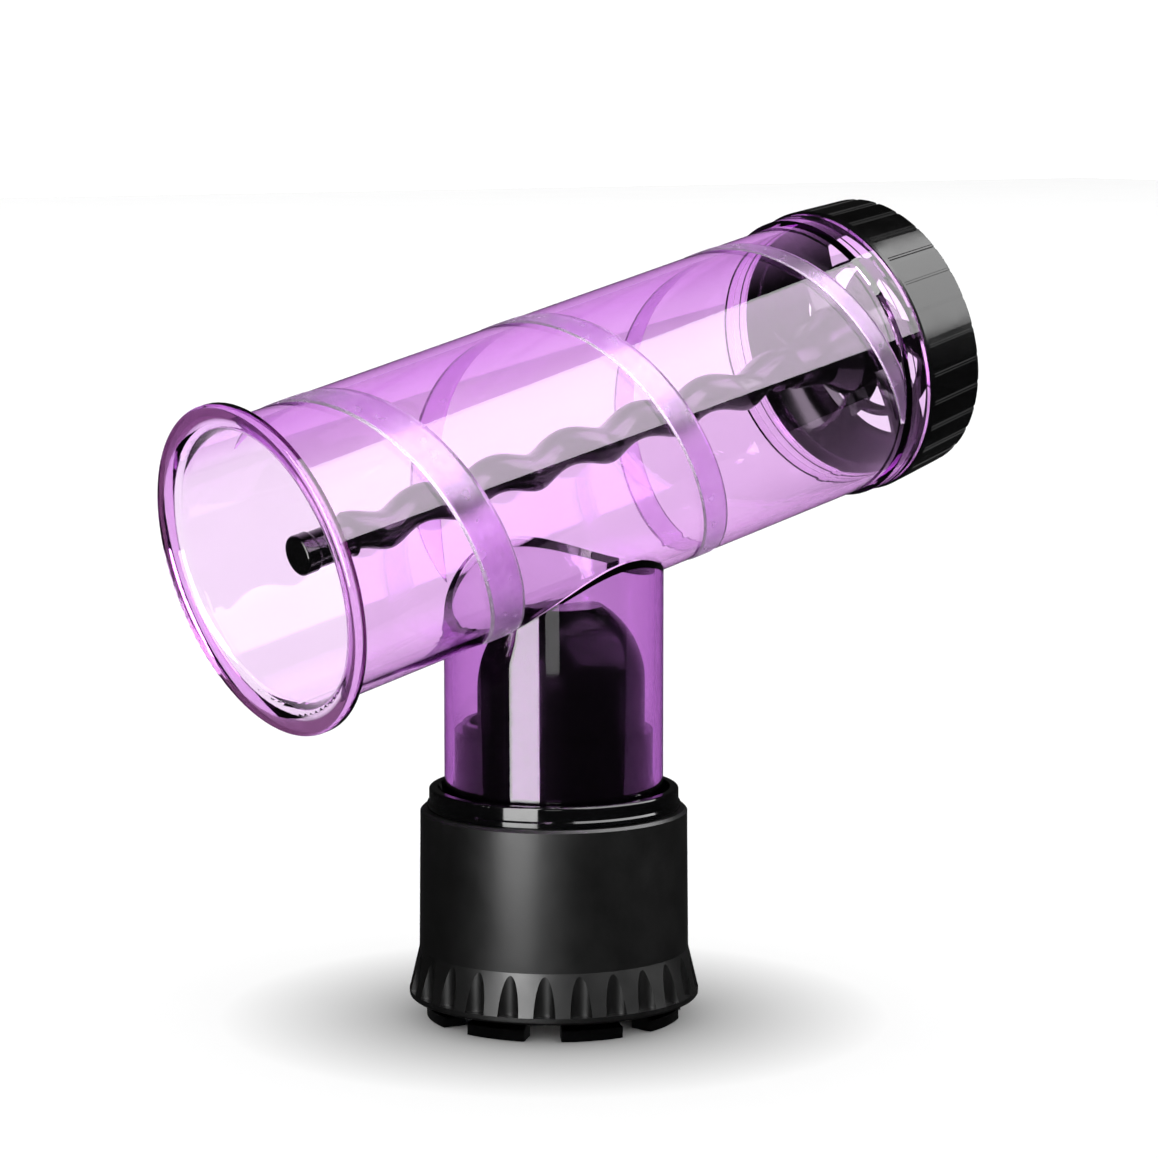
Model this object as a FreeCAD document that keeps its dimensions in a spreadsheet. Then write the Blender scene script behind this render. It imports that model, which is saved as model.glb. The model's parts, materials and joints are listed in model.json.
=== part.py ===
import FreeCAD, Part
import math
import os
import Sketcher

# Air-vortex curling attachment for a hair dryer, in millimetres.
# The origin is on the neck's axis at the level of the clamp fingers' feet, +Z runs up the neck,
# and the barrel lies in the XZ plane: its mouth towards -X, its vented cap towards +X and higher.

DOC = FreeCAD.newDocument("air_curler")
VECTOR = FreeCAD.Vector

SIZES = [
    # clear moulding
    ("neck_r", 24.7, "outside radius of the neck"),
    ("tube_wall", 1.8, "wall of the clear moulding"),
    ("barrel_r", 32.4, "outside radius of the barrel"),
    ("tilt", 14.1, "degrees that the barrel rises towards its cap"),
    ("axis_height", 126.5, "height of the barrel's axis over the neck"),
    ("front_len", 81.7, "neck axis to mouth, along the barrel"),
    ("mouth_r", 37.1, "outside radius of the mouth's rim"),
    ("rim_width", 2.4, "width of the mouth's rim"),
    ("rim_fillet", 1.0, "fillet between the rim's back and the barrel"),
    ("lip_round", 1.0, "rounding of the mouth's front edge"),
    ("bell", 4.3, "radius of the bell inside the mouth"),
    ("rear_len", 84.4, "neck axis to the cap's front edge, along the barrel"),
    ("collar_len", 7.0, "thick collar in front of the cap"),
    ("collar_rise", 1.1, "how far that collar stands out"),
    ("spigot_len", 7.5, "barrel end inside the cap"),
    ("spigot_step", 0.6, "step from the barrel down to that end"),
    ("stop_at", 79.3, "neck axis to the shallow stop groove in the bore"),
    ("stop_width", 2.2, "width of that groove"),
    ("stop_depth", 0.4, "depth of that groove"),
    # edges
    ("fine_edge", 0.4, "bevel of a fine edge"),
    ("edge", 0.6, "bevel or rounding of an ordinary edge"),
    ("past", 1.0, "how far a cutting shape runs past what it cuts"),
    # running gaps
    ("run_gap", 0.3, "gap between pieces that move on each other"),
    ("seat_gap", 0.05, "gap between pieces pushed together"),
    # end cap
    ("cap_len", 16.0, "length of the cap ring"),
    ("cap_wall", 1.9, "wall of the cap ring at its front"),
    ("cap_taper", 1.1, "how much narrower the ring is at the back"),
    ("cap_lip", 5.4, "width of the ring's back wall"),
    ("cap_back", 2.0, "thickness of the ring's back wall"),
    ("groove_depth", 0.3, "depth of the ring's grip grooves at their sides"),
    ("groove_width", 2.0, "width of the ring's grip grooves"),
    ("channel_depth", 0.6, "depth of the narrower channel along each groove"),
    ("channel_width", 1.0, "width of that channel"),
    ("plug_wall", 1.6, "wall of the vent plug"),
    ("plug_skirt", 7.0, "skirt of the vent plug, inside the barrel"),
    ("hub_r", 10.5, "radius of the vent plug's hub"),
    ("hub_nose", 28.0, "how far the hub reaches into the barrel"),
    ("nose_step", 0.75, "step from the rod to the tip of the hub's nose"),
    ("vane_width", 1.5, "thickness of a vent vane"),
    ("vane_len", 9.0, "length of a vent vane along the axis"),
    ("vane_sweep", 38.0, "degrees between a vane's root and its tip"),
    ("guard_r", 17.5, "radius of the guard ring that crosses the vanes"),
    ("guard_len", 3.0, "length of the guard ring"),
    ("vent_lip", 2.0, "lip of the plug inside the ring's back wall"),
    ("seal_thick", 1.0, "thickness of the seals"),
    # core rod
    ("rod_r", 4.35, "radius of the wavy rod"),
    ("rod_wave", 1.3, "how far the rod's centre winds round the axis"),
    ("rod_phase", 180.0, "direction in which the first wave stands off the axis"),
    ("rod_pitch", 20.6, "length of one wave"),
    ("rod_waves", 6, "number of waves"),
    ("rod_neck", 4.0, "plain length between the waves and the hub"),
    ("spigot_r", 3.0, "radius of the rod's end in the hub"),
    ("tip_r", 4.55, "radius of the rod's tip"),
    ("tip_len", 13.3, "length of the rod's tip"),
    ("tip_bore", 2.5, "radius of the stud that holds the tip"),
    ("screw_r", 1.5, "radius of the rod's screw"),
    ("screw_head", 3.6, "radius of that screw's head"),
    ("screw_len", 13.6, "length of that screw with its head"),
    ("recess_len", 4.0, "length of the cross in its head"),
    ("recess_width", 1.0, "width of that cross"),
    ("recess_depth", 1.2, "depth of that cross"),
    ("screw_sunk", 3.0, "depth of the seat for the screw's head"),
    ("screw_web", 5.0, "thickness of the hub between the screw's head and the rod"),
    ("rod_bore_len", 8.0, "depth of the rod's hole for the screw"),
    ("washer_thick", 0.6, "thickness of that screw's washer"),
    # adapter and clamp
    ("socket_wall", 2.75, "wall of the adapter round the neck"),
    ("rim_rise", 4.8, "adapter rim over the sleeve's shoulder"),
    ("rim_r_step", 0.7, "how far the rim stands out over the adapter's wall"),
    ("rim_bead", 0.4, "how far the bead at the rim's foot stands out further"),
    ("rim_share", 0.55, "share of the adapter's wall that is cut away inside the rim"),
    ("snap_depth", 0.6, "depth of the groove for the snap ring"),
    ("retainer_lip", 0.8, "how far the snap ring stands out"),
    ("duct_r", 20.7, "radius of the air duct through the adapter"),
    ("sleeve_wall", 1.6, "wall of the clamp sleeve"),
    ("sleeve_low", 4.65, "height of the sleeve's lower edge"),
    ("sleeve_len", 42.85, "length of the sleeve"),
    ("sleeve_draft", 0.3, "how much wider the sleeve is at the flare"),
    ("flare_out", 2.6, "how far the fluted flare stands out"),
    ("flare_len", 11.0, "height of the fluted flare"),
    ("lip_len", 1.5, "height of the plain lip under the flutes"),
    ("flute_r", 2.5, "radius of a flute"),
    ("flute_depth", 2.15, "depth of a flute at its foot"),
    ("flute_phase", 2.1, "direction of the first flute from the first finger"),
    ("ledge_len", 2.2, "thickness of the sleeve's shoulder"),
    ("finger_arc", 28.6, "degrees that one clamp finger spans"),
    ("finger_wall", 2.0, "thickness of a clamp finger"),
    ("finger_phase", 26.0, "direction of the first clamp finger"),
    ("pad_wall", 1.2, "thickness of a grip pad"),
    ("pad_arc", 24.0, "degrees that one grip pad spans"),
    ("pad_len", 21.0, "height of a grip pad"),
    ("foot_len", 2.4, "height of a finger's foot"),
    ("cam_room", 2.0, "room between the fingers and the sleeve"),
    ("cam_rise", 2.15, "how far a cam ramp closes a finger"),
    ("cam_arc", 32.0, "degrees that a cam ramp spans"),
    ("cam_low", 8.0, "height of the cam ramps' lower face"),
    ("cam_len", 6.0, "height of the cam ramps"),
    ("cam_recess", 0.8, "extra bore round the cams"),
    ("follower_gap", 0.4, "gap between a finger's cam follower and the bore"),
    ("follower_wide", 1.5, "width of a cam follower"),
    ("pin_r", 0.8, "radius of a finger's pin"),
    ("pin_len", 10.0, "length of a finger's pin"),
    ("knuckle_r", 1.7, "radius of a finger's knuckle"),
    ("knuckle_len", 7.0, "width of a finger's knuckle"),
    ("seat_height", 33.0, "height of the face that the dryer's nozzle stops on"),
    ("pivot_rise", 3.5, "finger pin over that face"),
    ("duct_ledge", 7.5, "height of the ledge that the neck stands on, over that face"),
    # air guide
    ("guide_gap", 0.5, "gap between the air guide and the neck"),
    ("guide_wall", 1.5, "wall of the air guide"),
    ("guide_base", 0.4788, "height of the guide's base ring as a share of the guide's height"),
    ("guide_round", 9.6, "how far in the cowl's shoulder reaches"),
    ("guide_drop", 0.32046, "how far down the cowl's shoulder reaches, as a share of that height"),
    ("guide_top_gap", 1.4, "gap from the cowl's top to the barrel's bore"),
]

FINGERS = 8
FLUTES = 25
GROOVES = 30
VANES = 6
SECTIONS_PER_WAVE = 8
CAM_HEEL = 1.0  # degrees from a cam's high end to its back
CAM_BOW = 0.9  # radius of a cam's face as a share of the bore


class Size:
    """A number that is kept together with the sheet expression that gives it."""

    def __init__(self, value, text):
        self.value = value
        self.text = text

    def join(self, sign, value, other):
        return Size(value, f"({self.text} {sign} {other.text})")

    def __add__(self, other):
        other = size(other)
        return self.join("+", self.value + other.value, other)

    def __sub__(self, other):
        other = size(other)
        return self.join("-", self.value - other.value, other)

    def __mul__(self, other):
        other = size(other)
        return self.join("*", self.value * other.value, other)

    def __truediv__(self, other):
        other = size(other)
        return self.join("/", self.value / other.value, other)

    def __neg__(self):
        return Size(-self.value, f"(0 - {self.text})")


def size(number):
    if isinstance(number, Size):
        return number
    return Size(float(number), f"({float(number)})")


def cosine(angle):
    return Size(math.cos(math.radians(angle.value)), f"cos({angle.text} * 1 deg)")


def sine(angle):
    return Size(math.sin(math.radians(angle.value)), f"sin({angle.text} * 1 deg)")


def sheet_of_sizes():
    """Writes the sheet and gives each alias as an attribute that holds its Size."""
    sheet = DOC.addObject("Spreadsheet::Sheet", "Sizes")
    known = type("Known", (), {})()
    for row, (alias, number, meaning) in enumerate(SIZES, start=1):
        sheet.set(f"A{row}", str(number))
        sheet.setAlias(f"A{row}", alias)
        sheet.set(f"B{row}", meaning)
        setattr(known, alias, Size(number, f"Sizes.{alias}"))
    DOC.recompute()
    return known


S = sheet_of_sizes()


def bind(thing, name, number):
    """Sets a property and ties it to the sheet."""
    number = size(number)
    setattr(thing, name, number.value)
    thing.setExpression(name, number.text)


def place(thing, at=(0, 0, 0), axis=(0, 0, 1), turn=0):
    """Places a thing, with each coordinate and its turn tied to the sheet."""
    at = [size(number) for number in at]
    turn = size(turn)
    rotation = FreeCAD.Rotation(VECTOR(*axis), turn.value)
    thing.Placement = FreeCAD.Placement(VECTOR(*[number.value for number in at]), rotation)
    for name, number in zip("xyz", at):
        if number.value:
            thing.setExpression(f"Placement.Base.{name}", number.text)
    if turn.value:
        thing.setExpression("Placement.Rotation.Angle", turn.text)


def on_barrel(thing):
    """Stands a thing modelled along +Z on the barrel's axis, so that its Z runs towards the cap."""
    place(thing, (0, 0, S.axis_height), (0, 1, 0), size(90) - S.tilt)


def origin_part(body, role):
    return next(part for part in body.Origin.OriginFeatures if part.Role == role)


def sketch_on(body, role, name, offset=None):
    sketch = body.newObject("Sketcher::SketchObject", name)
    sketch.AttachmentSupport = [(origin_part(body, role), "")]
    sketch.MapMode = "FlatFace"
    if offset is not None:
        sketch.AttachmentOffset = FreeCAD.Placement(VECTOR(0, 0, offset.value), FreeCAD.Rotation())
        sketch.setExpression("AttachmentOffset.Base.z", offset.text)
    return sketch


def pin_down(sketch, edge, end, corner):
    """Fixes one end of an edge at a corner, on the sketch's own axis where a coordinate is zero."""
    for kind, axis, number in (("DistanceX", -2, corner[0]), ("DistanceY", -1, corner[1])):
        if number.value == 0:
            sketch.addConstraint(Sketcher.Constraint("PointOnObject", edge, end, axis))
            continue
        index = sketch.addConstraint(Sketcher.Constraint(kind, edge, end, number.value))
        sketch.setExpression(f"Constraints[{index}]", number.text)


def arc_edge(sketch, start, stop, radius):
    """An arc under half a turn: anticlockwise for a positive radius, clockwise for a negative one."""
    first, last = (start, stop) if radius.value > 0 else (stop, start)
    bow = abs(radius.value)
    middle = (first + last) * 0.5
    chord = last - first
    left = VECTOR(-chord.y, chord.x, 0).normalize()
    centre = middle + left * math.sqrt(bow**2 - (chord.Length / 2) ** 2)
    begin = math.atan2(first.y - centre.y, first.x - centre.x)
    end = math.atan2(last.y - centre.y, last.x - centre.x)
    if end < begin:
        end += 2 * math.pi
    circle = Part.Circle(centre, VECTOR(0, 0, 1), bow)
    edge = sketch.addGeometry(Part.ArcOfCircle(circle, begin, end), False)
    index = sketch.addConstraint(Sketcher.Constraint("Radius", edge, bow))
    sketch.setExpression(f"Constraints[{index}]", radius.text if radius.value > 0 else (-radius).text)
    return (edge, 1, 2) if radius.value > 0 else (edge, 2, 1)


def outline(sketch, corners):
    """Draws a closed outline. A corner is (x, y), or (x, y, radius) where an arc leaves it."""
    corners = [tuple(size(number) for number in corner) for corner in corners]
    edges = []
    for here, there in zip(corners, corners[1:] + corners[:1]):
        start = VECTOR(here[0].value, here[1].value, 0)
        stop = VECTOR(there[0].value, there[1].value, 0)
        if len(here) == 3:
            edges.append(arc_edge(sketch, start, stop, here[2]))
        else:
            edges.append((sketch.addGeometry(Part.LineSegment(start, stop), False), 1, 2))
    for number, corner in enumerate(corners):
        edge, begin, _ = edges[number]
        before, _, end = edges[number - 1]
        sketch.addConstraint(Sketcher.Constraint("Coincident", before, end, edge, begin))
        pin_down(sketch, edge, begin, corner)


def round_outline(sketch, x, y, radius):
    """Draws one circle."""
    centre = tuple(size(number) for number in (x, y))
    radius = size(radius)
    circle = Part.Circle(VECTOR(centre[0].value, centre[1].value, 0), VECTOR(0, 0, 1), radius.value)
    edge = sketch.addGeometry(circle, False)
    pin_down(sketch, edge, 3, centre)
    index = sketch.addConstraint(Sketcher.Constraint("Radius", edge, radius.value))
    sketch.setExpression(f"Constraints[{index}]", radius.text)


def new_body(name):
    body = DOC.addObject("PartDesign::Body", name)
    body.Label = name
    return body


def turned(body, corners, arc=None, name="turned"):
    """Adds what the outline of (radius, height) corners sweeps round the body's Z axis."""
    sketch = sketch_on(body, "XZ_Plane", f"{body.Name}_{name}_outline")
    outline(sketch, corners)
    feature = body.newObject("PartDesign::Revolution", f"{body.Name}_{name}")
    feature.Profile = sketch
    feature.ReferenceAxis = (sketch, ["V_Axis"])
    if arc is None:
        feature.Angle = 360
    else:
        feature.Midplane = True
        bind(feature, "Angle", arc)
    body.Tip = feature
    return feature


def across(body, kind, corners, width, name):
    """Pads or pockets a (radius, height) outline by half the width to each side of the XZ plane."""
    sketch = sketch_on(body, "XZ_Plane", f"{body.Name}_{name}_outline")
    if isinstance(corners, dict):
        round_outline(sketch, **corners)
    else:
        outline(sketch, corners)
    feature = body.newObject(kind, f"{body.Name}_{name}")
    feature.Profile = sketch
    feature.Midplane = True
    bind(feature, "Length", width)
    body.Tip = feature
    return feature


def upright(body, kind, corners, base, height, name):
    """Pads or pockets an (x, y) outline from one height up by another."""
    sketch = sketch_on(body, "XY_Plane", f"{body.Name}_{name}_outline", size(base))
    if isinstance(corners, dict):
        round_outline(sketch, **corners)
    else:
        outline(sketch, corners)
    feature = body.newObject(kind, f"{body.Name}_{name}")
    feature.Profile = sketch
    feature.Reversed = kind == "PartDesign::Pocket"
    bind(feature, "Length", height)
    body.Tip = feature
    return feature


def repeated(body, feature, count):
    """Repeats a feature round the body's Z axis."""
    pattern = body.newObject("PartDesign::PolarPattern", f"{feature.Name}_all")
    pattern.Originals = [feature]
    pattern.Axis = (origin_part(body, "Z_Axis"), [""])
    pattern.Angle = 360
    pattern.Occurrences = count
    body.Tip = pattern
    return pattern


PAD = "PartDesign::Pad"
POCKET = "PartDesign::Pocket"

# Radii from the neck outwards, and heights from the feet upwards
BORE_R = S.barrel_r - S.tube_wall
SOCKET_R = S.neck_r + S.seat_gap
ADAPTER_R = SOCKET_R + S.socket_wall
LEDGE_R = ADAPTER_R + S.run_gap
SLEEVE_BORE = ADAPTER_R + S.retainer_lip + S.run_gap
SLEEVE_R = SLEEVE_BORE + S.sleeve_wall
CAM_BORE = SLEEVE_BORE + S.cam_recess
FINGER_R = SLEEVE_BORE - S.cam_room
PAD_R = FINGER_R - S.finger_wall
CLAMP_R = PAD_R - S.pad_wall
FOOT_R = SLEEVE_BORE + S.run_gap
PIVOT_R = ADAPTER_R - S.knuckle_r + S.fine_edge / 2
SLEEVE_TOP = S.sleeve_low + S.sleeve_len
PIVOT_Z = S.seat_height + S.pivot_rise
LEDGE_Z = S.seat_height + S.duct_ledge
NECK_Z = LEDGE_Z + S.seal_thick * 1.5
GUIDE_R = S.neck_r - S.tube_wall - S.guide_gap

# Stations along the barrel, from the neck's axis
SPIGOT_R = S.barrel_r - S.spigot_step
SPIGOT_END = S.rear_len + S.spigot_len
SEAL_START = SPIGOT_END + S.seat_gap * 2
PLUG_SHOULDER = SEAL_START + S.seal_thick
CAP_BORE = SPIGOT_R + S.run_gap
CAP_R = CAP_BORE + S.cap_wall
CAP_END = S.rear_len + S.cap_len
PLUG_END = CAP_END - S.cap_back - S.run_gap
ROD_SEAT = PLUG_END - S.screw_sunk - S.screw_web
HUB_START = CAP_END - S.cap_back - S.hub_nose
ROD_WAVES_END = HUB_START - S.rod_neck
ROD_LEN = S.rod_pitch * S.rod_waves
ROD_START = ROD_WAVES_END - ROD_LEN


def cylinder(name, radius, low, high):
    """A plain upright cylinder on the neck's axis."""
    thing = DOC.addObject("Part::Cylinder", name)
    bind(thing, "Radius", radius)
    bind(thing, "Height", high - low)
    place(thing, (0, 0, low))
    return thing


def cut(name, base, tools):
    """What is left of a base once each of the tools is taken out of it."""
    for number, tool in enumerate(tools, start=1):
        last = number == len(tools)
        left = DOC.addObject("Part::Cut", name if last else f"{name}_cut_{number}")
        left.Base, left.Tool = base, tool
        base = left
    return base


def clear_barrel():
    """The clear barrel: a bell mouth, a hole over the neck, and a thick rear collar with a spigot."""
    rim_back = -S.front_len + S.rim_width
    collar_start = S.rear_len - S.collar_len
    collar_r = S.barrel_r + S.collar_rise
    collar_end = S.rear_len - S.run_gap
    stop_r = BORE_R + S.stop_depth
    stop_end = S.stop_at + S.stop_width
    outside = new_body("barrel_outside")
    turned(outside, [
        (0, -S.front_len),
        (S.mouth_r - S.lip_round, -S.front_len, S.lip_round),
        (S.mouth_r, -S.front_len + S.lip_round),
        (S.mouth_r, rim_back),
        (S.barrel_r + S.rim_fillet, rim_back, -S.rim_fillet),
        (S.barrel_r, rim_back + S.rim_fillet),
        (S.barrel_r, collar_start),
        (collar_r, collar_start + S.collar_rise),
        (collar_r, collar_end),
        (SPIGOT_R, collar_end),
        (SPIGOT_R, SPIGOT_END),
        (0, SPIGOT_END),
    ])
    on_barrel(outside)
    inside = new_body("barrel_inside")
    turned(inside, [
        (0, -S.front_len - S.bell),
        (BORE_R + S.bell, -S.front_len - S.bell),
        (BORE_R + S.bell, -S.front_len, -S.bell),
        (BORE_R, -S.front_len + S.bell),
        (BORE_R, S.stop_at),
        (stop_r, S.stop_at),
        (stop_r, stop_end),
        (BORE_R, stop_end),
        (BORE_R, SPIGOT_END + S.bell),
        (0, SPIGOT_END + S.bell),
    ])
    on_barrel(inside)
    hole = cylinder("neck_hole", S.neck_r - S.tube_wall, NECK_Z, S.axis_height)
    return cut("clear_barrel", outside, [inside, hole])


def clear_neck():
    """The clear neck, saddled to the barrel's underside and bonded there."""
    outside = cylinder("neck_outside", S.neck_r, NECK_Z, S.axis_height)
    inside = cylinder("neck_inside", S.neck_r - S.tube_wall, NECK_Z - S.past, S.axis_height + S.past)
    saddle = new_body("neck_saddle")
    saddle_r = S.barrel_r + S.seat_gap
    reach = S.neck_r * 2
    turned(saddle, [(0, -reach), (saddle_r, -reach), (saddle_r, reach), (0, reach)])
    on_barrel(saddle)
    return cut("clear_neck", outside, [inside, saddle])


def air_guide():
    """The black insert: a ring in the neck under a half cowl that turns the air sideways."""
    body = new_body("air_guide")
    cowl_r = GUIDE_R - S.guide_wall - S.run_gap
    top = S.axis_height - BORE_R / cosine(S.tilt) - S.guide_top_gap
    base_top = LEDGE_Z + (top - LEDGE_Z) * S.guide_base
    drop = (top - LEDGE_Z) * S.guide_drop
    inner_round = S.guide_round - S.guide_wall
    inner_drop = drop - S.guide_wall
    # Each shoulder is an arc that starts upright and meets the flat top at an angle.
    outer_bow = (S.guide_round * S.guide_round + drop * drop) / (S.guide_round * 2)
    inner_bow = (inner_round * inner_round + inner_drop * inner_drop) / (inner_round * 2)
    turned(body, [
        (S.duct_r, LEDGE_Z),
        (GUIDE_R, LEDGE_Z),
        (GUIDE_R, base_top),
        (cowl_r, base_top),
        (cowl_r, top - drop, outer_bow),
        (cowl_r - S.guide_round, top),
        (0, top),
        (0, top - S.guide_wall),
        (cowl_r - S.guide_round, top - S.guide_wall, -inner_bow),
        (cowl_r - S.guide_wall, top - drop),
        (cowl_r - S.guide_wall, base_top - S.guide_wall),
        (S.duct_r, base_top - S.guide_wall),
    ])
    window_low = base_top + S.guide_wall
    upright(body, POCKET, [
        (-GUIDE_R, 0),
        (GUIDE_R, 0),
        (GUIDE_R, GUIDE_R),
        (-GUIDE_R, GUIDE_R),
    ], window_low, top - window_low + S.past, "window")
    return body


def adapter_body():
    """The collar under the neck, with a socket for the neck and a notch for each finger."""
    body = new_body("adapter_body")
    rim_r = ADAPTER_R + S.rim_r_step
    rim_low = SLEEVE_TOP + S.run_gap
    rim_top = SLEEVE_TOP + S.rim_rise
    rim_inner = SOCKET_R + S.socket_wall * S.rim_share
    bead_r = rim_r + S.rim_bead
    bead_top = rim_low + S.past
    snap_top = SLEEVE_TOP - S.ledge_len - S.run_gap / 2
    snap_low = snap_top - S.seal_thick - S.seat_gap * 2
    snap_r = ADAPTER_R - S.snap_depth - S.seat_gap
    turned(body, [
        (S.duct_r, S.seat_height),
        (ADAPTER_R, S.seat_height),
        (ADAPTER_R, snap_low),
        (snap_r, snap_low),
        (snap_r, snap_top),
        (ADAPTER_R, snap_top),
        (ADAPTER_R, rim_low),
        (bead_r, rim_low),
        (bead_r, bead_top),
        (rim_r, bead_top + S.rim_bead),
        (rim_r, rim_top - S.edge, S.edge),
        (rim_r - S.edge, rim_top),
        (rim_inner, rim_top),
        (rim_inner, bead_top),
        (SOCKET_R, bead_top),
        (SOCKET_R, LEDGE_Z),
        (S.duct_r, LEDGE_Z),
    ])
    notch_in = PIVOT_R - S.knuckle_r - S.run_gap * 2
    notch_top = PIVOT_Z + S.knuckle_r + S.run_gap * 2
    notch = across(body, POCKET, [
        (notch_in, S.seat_height - S.past),
        (ADAPTER_R + S.past, S.seat_height - S.past),
        (ADAPTER_R + S.past, notch_top),
        (notch_in, notch_top),
    ], S.knuckle_len + S.run_gap * 2, "notch")
    repeated(body, notch, FINGERS)
    hole = across(body, POCKET, {"x": PIVOT_R, "y": PIVOT_Z, "radius": S.pin_r}, S.pin_len, "pin_hole")
    repeated(body, hole, FINGERS)
    place(body, turn=S.finger_phase)
    return body


def sleeve_retainer():
    """The snap ring in the adapter's groove, which keeps the sleeve up."""
    body = new_body("sleeve_retainer")
    top = SLEEVE_TOP - S.ledge_len - S.run_gap / 2 - S.seat_gap
    low = top - S.seal_thick
    inner = ADAPTER_R - S.snap_depth
    outer = ADAPTER_R + S.retainer_lip - S.run_gap
    turned(body, [(inner, low), (outer, low), (outer, top), (inner, top)])
    return body


def neck_seal():
    """The flat ring under the neck's end."""
    body = new_body("neck_seal")
    inner = S.neck_r - S.tube_wall + S.seat_gap
    turned(body, [(inner, LEDGE_Z), (S.neck_r, LEDGE_Z), (S.neck_r, NECK_Z), (inner, NECK_Z)])
    return body


def clamp_sleeve():
    """The turning sleeve: a shoulder on top, flutes round the flare, and cam ramps inside."""
    body = new_body("clamp_sleeve")
    low = S.sleeve_low
    flare_top = low + S.flare_len
    flare_r = SLEEVE_R + S.flare_out
    lip = low + S.lip_len
    turned(body, [
        (CAM_BORE, low),
        (flare_r - S.edge, low, S.edge),
        (flare_r, low + S.edge),
        (flare_r, lip),
        (SLEEVE_R + S.sleeve_draft, flare_top),
        (SLEEVE_R, SLEEVE_TOP - S.edge),
        (SLEEVE_R - S.edge, SLEEVE_TOP),
        (LEDGE_R, SLEEVE_TOP),
        (LEDGE_R, SLEEVE_TOP - S.ledge_len),
        (SLEEVE_BORE, SLEEVE_TOP - S.ledge_len),
        (SLEEVE_BORE, flare_top + S.cam_recess),
        (CAM_BORE, flare_top),
    ])
    centre_r = flare_r - S.flute_depth + S.flute_r
    flute = upright(body, POCKET, {
        "x": centre_r * cosine(S.flute_phase),
        "y": centre_r * sine(S.flute_phase),
        "radius": S.flute_r,
    }, lip, S.flare_len, "flute")
    repeated(body, flute, FLUTES)
    ends = []
    for share in (0, 1):
        angle = S.cam_arc * share
        radius = CAM_BORE - S.cam_rise * share
        ends.append((radius * cosine(angle), radius * sine(angle)))
    root_angle = S.cam_arc + CAM_HEEL
    root = CAM_BORE + S.sleeve_draft
    cam = upright(body, PAD, [
        (root, 0, root),
        (root * cosine(root_angle), root * sine(root_angle)),
        (ends[1][0], ends[1][1], -CAM_BORE * CAM_BOW),
        (ends[0][0], 0),
    ], S.cam_low, S.cam_len, "cam")
    repeated(body, cam, FINGERS)
    place(body, turn=S.finger_phase)
    return body


def clamp_finger(number):
    """One clamp finger: a curved plate with a foot, a cam follower, and a knuckle on a pin."""
    body = new_body(f"clamp_finger_{number}")
    plate_top = S.seat_height - S.fine_edge
    pad_low = S.foot_len + S.edge
    turned(body, [
        (CLAMP_R, 0),
        (FOOT_R, 0),
        (FOOT_R, S.foot_len),
        (FINGER_R, S.foot_len + S.past),
        (FINGER_R, plate_top),
        (PAD_R, plate_top),
        (PAD_R, pad_low),
        (CLAMP_R, pad_low),
    ], S.finger_arc)
    follower_r = CAM_BORE - S.follower_gap
    cam_top = S.cam_low + S.cam_len
    across(body, PAD, [
        (FINGER_R - S.fine_edge, S.cam_low),
        (follower_r - S.fine_edge, S.cam_low),
        (follower_r, S.cam_low + S.edge),
        (follower_r, cam_top - S.edge),
        (follower_r - S.fine_edge, cam_top),
        (FINGER_R - S.fine_edge, cam_top),
    ], S.follower_wide, "follower")
    across(body, PAD, [
        (PAD_R, plate_top - S.past),
        (FINGER_R, plate_top - S.past),
        (PIVOT_R + S.knuckle_r, PIVOT_Z, S.knuckle_r),
        (PIVOT_R, PIVOT_Z + S.knuckle_r, S.knuckle_r),
        (PIVOT_R - S.knuckle_r, PIVOT_Z),
    ], S.knuckle_len, "knuckle")
    bore = {"x": PIVOT_R, "y": PIVOT_Z, "radius": S.pin_r + S.seat_gap}
    across(body, POCKET, bore, S.knuckle_len + S.past * 2, "pin_bore")
    place(body, turn=S.finger_phase + 360 / FINGERS * (number - 1))
    return body


def grip_pad(number):
    """The rubber pad inside one clamp finger."""
    body = new_body(f"grip_pad_{number}")
    low = S.foot_len + S.edge
    turned(body, [
        (CLAMP_R, low),
        (PAD_R, low),
        (PAD_R, low + S.pad_len),
        (CLAMP_R, low + S.pad_len),
    ], S.pad_arc)
    place(body, turn=S.finger_phase + 360 / FINGERS * (number - 1))
    return body


def finger_pins():
    """The pins that the fingers swing on, each pushed through the adapter across its notch."""
    pins = []
    for number in range(FINGERS):
        angle = S.finger_phase + 360 / FINGERS * number
        pin = DOC.addObject("Part::Cylinder", f"finger_pin_{number + 1}")
        bind(pin, "Radius", S.pin_r)
        bind(pin, "Height", S.pin_len)
        half = S.pin_len / 2
        # The pin lies along the tangent, which is the radius direction turned a quarter.
        across_x = PIVOT_R * cosine(angle) + half * sine(angle)
        across_y = PIVOT_R * sine(angle) - half * cosine(angle)
        turn = FreeCAD.Rotation(VECTOR(0, 0, 1), angle.value) * FreeCAD.Rotation(VECTOR(1, 0, 0), -90)
        base = VECTOR(across_x.value, across_y.value, PIVOT_Z.value)
        pin.Placement = FreeCAD.Placement(base, turn)
        for name, number_at in zip("xyz", (across_x, across_y, PIVOT_Z)):
            pin.setExpression(f"Placement.Base.{name}", number_at.text)
        pins.append(pin)
    group = DOC.addObject("Part::Compound", "finger_pins")
    group.Links = pins
    return group


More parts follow.
